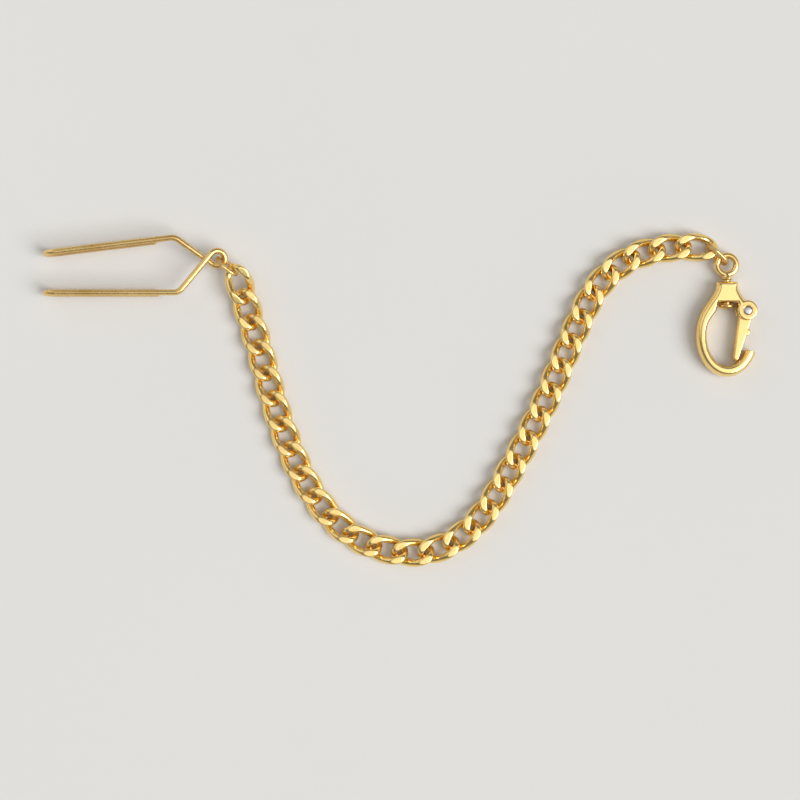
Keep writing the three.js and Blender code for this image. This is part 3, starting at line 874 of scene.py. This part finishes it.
def add_swivel_eye():
    """The eye that the end ring goes through, and its stem, headed over inside the clasp."""
    ring = np.pad(circle((0, 0), EYE_RADIUS, sides=64), ((0, 0), (0, 1)))
    piece = scratch_object(*swept_wire(ring, EYE_WIRE / 2, sides=24, closed=True, level=UP))
    foot = EYE_RADIUS + EYE_WIRE / 2
    shoulder = STEM_HEAD_START + HEAD_RIM_SHARE * (STEM_HEAD_END - STEM_HEAD_START)
    stem = lathe([
        (EYE_RADIUS, STEM_ROOT_SHARE * STEM_RADIUS),
        (foot, STEM_FOOT_SHARE * STEM_RADIUS),
        *((foot + dx, radius) for dx, radius in STEM_BEAD),
        (foot + STEM_BEAD[-1][0] + STEM_BEAD_STEP, STEM_RADIUS),
        (STEM_HEAD_START, STEM_RADIUS),
        (STEM_HEAD_START, STEM_HEAD_RADIUS),
        *dome(shoulder, STEM_HEAD_END, STEM_HEAD_RADIUS),
    ], sides=48)
    cut_and_join(piece, [("UNION", stem)])
    cast(piece, SMALL_VOXEL, SMALL_SMOOTHING)

    # Painted shade and dirt along the stem, growing as it runs into the clasp's bore.
    def shade_and_dirt(points):
        return np.clip((points[:, 0] - foot) / STEM_SHADE_AND_DIRT_REACH, 0, STEM_SHADE_AND_DIRT)

    finish_clasp_piece(piece, "gilt_swivel_eye", "swivel_eye", CLASP_GOLD, shade_and_dirt)


def add_rivet():
    """The gate's pin, peened over into the two ears."""
    half = CLASP_THICKNESS / 2
    wide = RIVET_RADIUS + RIVET_CLEARANCE - RIVET_HEAD_PLAY
    step = EAR_SLOT / 2 + RIVET_STEP_INSET
    upper = [
        (step, RIVET_RADIUS),
        (step + RIVET_STEP_LENGTH, wide),
        *dome(half - RIVET_DOME, half, wide),
    ]
    lower = [(-x, radius) for x, radius in reversed(upper)]
    vertices, faces = lathe(lower + upper, sides=40)
    upright = [(HINGE[0] + y, HINGE[1] + z, x) for x, y, z in vertices]
    piece = scratch_object(upright, faces)
    finish_clasp_piece(piece, "steel_rivet", "clasp_rivet", STEEL)


def add_spring():
    """The coil that shuts the gate, in the pocket of its knuckle."""
    low = GATE_POCKET_FLOOR + SPRING_WIRE / 2 + SPRING_CLEARANCE
    high = EAR_SLOT / 2 - SPRING_WIRE / 2 - SPRING_CLEARANCE
    share = np.linspace(0, 1, SPRING_STATIONS)
    turn = 2 * math.pi * SPRING_TURNS * share
    radius = SPRING_COIL_RADIUS + SPRING_TAIL * np.abs(2 * share - 1) ** SPRING_TAIL_CURVE
    path = np.column_stack([arc(HINGE, radius, turn), low + (high - low) * share])
    piece = scratch_object(*swept_wire(path, SPRING_WIRE / 2, sides=12))
    finish_clasp_piece(piece, "steel_spring", "clasp_spring", STEEL)


# ---- Stage: floor, light and camera ----

SENSOR_WIDTH = 36.0
LENS = 85.0
FRAME_SHARE = 0.9  # of the picture's width that the chain fills
CLIP = (0.01, 20.0)
FLOOR_HALF_WIDTH = 6.0
KEY_WAY = (0.35, -0.15, 0.40)  # towards the main light
KEY_STRENGTH = 2.01
KEY_SPREAD = math.radians(40)
FILL_WAY = (-0.45, 0.30, 0.50)
FILL_STRENGTH = 0.4
FILL_SPREAD = math.radians(50)
ROOM_COLOUR = (1.0, 0.985, 0.96, 1)
FLOOR_GLOW = 0.745  # what the lit floor shows, so that it runs into the wall unseen
WALL_GLOW = 0.20
WALL_RISE = (0.12, 0.42)  # z of a direction between which the first fades into the second
CEILING_WAY = (0.25, -0.12, 0.95)
CEILING_GLOW = 1.10
CEILING_RIM = 0.82  # cosine of the angle between the ceiling light's middle and its rim


def add_floor():
    low, high = -FLOOR_HALF_WIDTH, FLOOR_HALF_WIDTH
    corners = [(low, low, 0), (high, low, 0), (high, high, 0), (low, high, 0)]
    floor = new_object("floor", new_mesh("floor", corners, [range(4)]))
    floor.data.materials.append(matt_floor("pale_floor"))


def add_sun(name, way, strength, spread):
    """A broad light from far off, so that it lights the whole floor alike."""
    light = bpy.data.lights.new(name, "SUN")
    light.energy, light.angle = strength, spread
    lamp = new_object(name, light)
    lamp.rotation_euler = (-Vector(way)).to_track_quat("-Z", "Y").to_euler()


def add_room():
    """The room round the stage: as pale as the floor at its foot, dim above, and a soft ceiling
    light that is strongest a little towards the key."""
    world = bpy.data.worlds.new("room")
    world.use_nodes = True
    tree = world.node_tree
    way = add_node(tree, "TexCoord").outputs["Generated"]
    height = add_node(tree, "SeparateXYZ", {"Vector": way}).outputs["Z"]
    middle = tuple(Vector(CEILING_WAY).normalized())
    nearness = add_node(tree, "VectorMath", {0: way, 1: middle}, operation="DOT_PRODUCT")
    wall = remap(tree, height, *WALL_RISE, FLOOR_GLOW, WALL_GLOW, "SMOOTHSTEP")
    ceiling = remap(
        tree, nearness.outputs["Value"], CEILING_RIM, 1.0, 0.0, CEILING_GLOW, "SMOOTHSTEP"
    )
    glow = math_node(tree, "ADD", wall, ceiling)
    tree.links.new(glow, tree.nodes["Background"].inputs["Strength"])
    tree.nodes["Background"].inputs["Color"].default_value = ROOM_COLOUR
    bpy.context.scene.world = world


def add_camera():
    """A camera straight above, far enough for the chain to fill its share of the picture."""
    low, high = cad_box
    middle = (low + high) / 2
    camera = bpy.data.cameras.new("camera")
    camera.lens, camera.sensor_width = LENS, SENSOR_WIDTH
    camera.clip_start, camera.clip_end = CLIP
    holder = new_object("camera", camera)
    view_width = (high.x - low.x) / FRAME_SHARE
    distance = view_width * LENS / SENSOR_WIDTH
    holder.location = (middle.x, middle.y, high.z + distance)
    bpy.context.scene.camera = holder


add_links()
add_ring("hook_ring", "gilt_hook_ring", HOOK_WIRE)
add_ring("end_ring", "gilt_end_ring", EYE_WIRE)
add_hook()
add_clasp_body()
add_clasp_gate()
add_swivel_eye()
add_rivet()
add_spring()

add_floor()
add_sun("key", KEY_WAY, KEY_STRENGTH, KEY_SPREAD)
add_sun("fill", FILL_WAY, FILL_STRENGTH, FILL_SPREAD)
add_room()
add_camera()
bpy.context.scene.view_settings.view_transform = "Standard"
